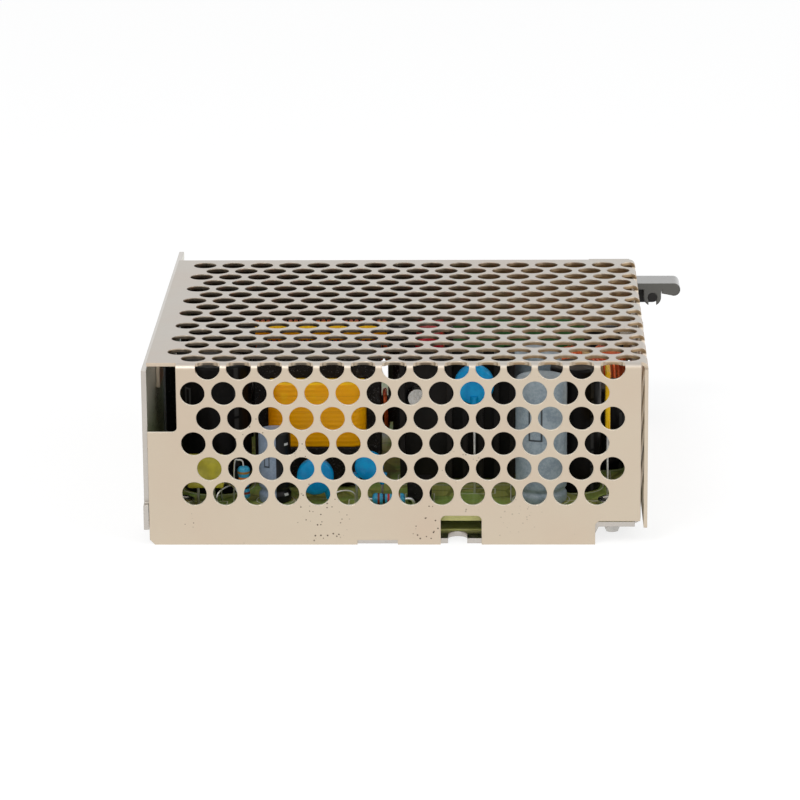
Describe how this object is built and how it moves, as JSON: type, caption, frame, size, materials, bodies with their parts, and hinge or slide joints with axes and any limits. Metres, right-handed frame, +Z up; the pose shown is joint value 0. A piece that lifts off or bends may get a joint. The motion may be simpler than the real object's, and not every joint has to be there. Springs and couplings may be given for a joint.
{
  "type": "enclosed switching power supply",
  "caption": "Enclosed switching power supply: folded metal chassis, perforated mesh cover, board with components inside and a covered terminal strip at the far end.",
  "frame": {"origin": "middle of the case's footprint on the underside of the base plate", "axes": "+Z up, +Y from the perforated front flap to the terminal end, +X towards the cover's side flap"},
  "size_m": [0.1069, 0.099, 0.036],
  "materials": {
    "chassis_metal": "matte as-rolled sheet",
    "cover_metal": "warm nickel plate",
    "screw_metal": "bright zinc",
    "tin_metal": "tinned",
    "sheet_olive": "insulating film",
    "board_green": "lacquered board",
    "board_dark": "lacquered board",
    "black_moulding": "glossy moulding",
    "brass_metal": "bare",
    "trimmer_blue": "moulded",
    "rotor_white": "moulded",
    "lamp_green": "tinted lens",
    "ferrite": "sintered",
    "tape_yellow": "polyester tape",
    "sleeve_black": "shrink sleeve",
    "sleeve_grey": "shrink sleeve",
    "epoxy_red": "dipped",
    "box_olive": "moulded box",
    "dip_yellow": "dipped",
    "dip_blue": "dipped",
    "dip_orange": "dipped",
    "dip_dark_green": "dipped",
    "copper_wire": "enamelled",
    "core_yellow": "coated core",
    "fuse_glass": "clear tube",
    "package_black": "moulded",
    "pad_grey": "thermal pad",
    "heatsink_black": "black anodised",
    "resistor_blue": "lacquered"
  },
  "bodies": {
    "case": {"chassis": "chassis_metal", "mesh_cover": "cover_metal", "cover_screws": "screw_metal", "insulation_sheet": "sheet_olive", "circuit_board": "board_green", "board_screws": "screw_metal", "terminal_block": "black_moulding", "terminal_contacts": "brass_metal", "terminal_clamps": "tin_metal", "terminal_screws": "screw_metal", "hinge_pin": "tin_metal", "trimmer_body": "trimmer_blue", "indicator_lamp": "lamp_green", "transformer_core": "ferrite", "transformer_coil": "tape_yellow", "bulk_capacitor": "sleeve_black", "output_capacitors": "sleeve_grey", "black_capacitors": "sleeve_black", "small_capacitor": "sleeve_grey", "film_capacitor": "epoxy_red", "box_capacitor": "box_olive", "yellow_capacitors": "dip_yellow", "disc_capacitors": "dip_blue", "line_choke_core": "ferrite", "line_choke_windings": "copper_wire", "toroid_core": "core_yellow", "toroid_winding": "copper_wire", "fuse_tube": "fuse_glass", "fuse_clips": "tin_metal", "bridge_rectifier": "package_black", "varistor": "dip_orange", "thermistor": "dip_dark_green", "switching_transistor": "package_black", "transistor_pad": "pad_grey", "transistor_screw": "screw_metal", "heatsink": "heatsink_black", "output_rectifier": "package_black", "rectifier_screw": "screw_metal", "control_board": "board_dark", "control_chip": "package_black", "optocoupler": "package_black", "resistors": "resistor_blue"},
    "lid": {"terminal_cover": "black_moulding"},
    "rotor": {"trimmer_rotor": "rotor_white"}
  },
  "joints": [
    {"name": "lid_hinge", "type": "hinge", "parent": "case", "child": "lid", "pos_m": [0.0525, 0.04555, 0.0259], "axis": [0, 1, 0], "range_deg": [0, 100]},
    {"name": "trimmer_turn", "type": "hinge", "parent": "case", "child": "rotor", "pos_m": [-0.0116, 0.042, 0.01], "axis": [0, 0, 1], "range_deg": [-130, 130]}
  ]
}
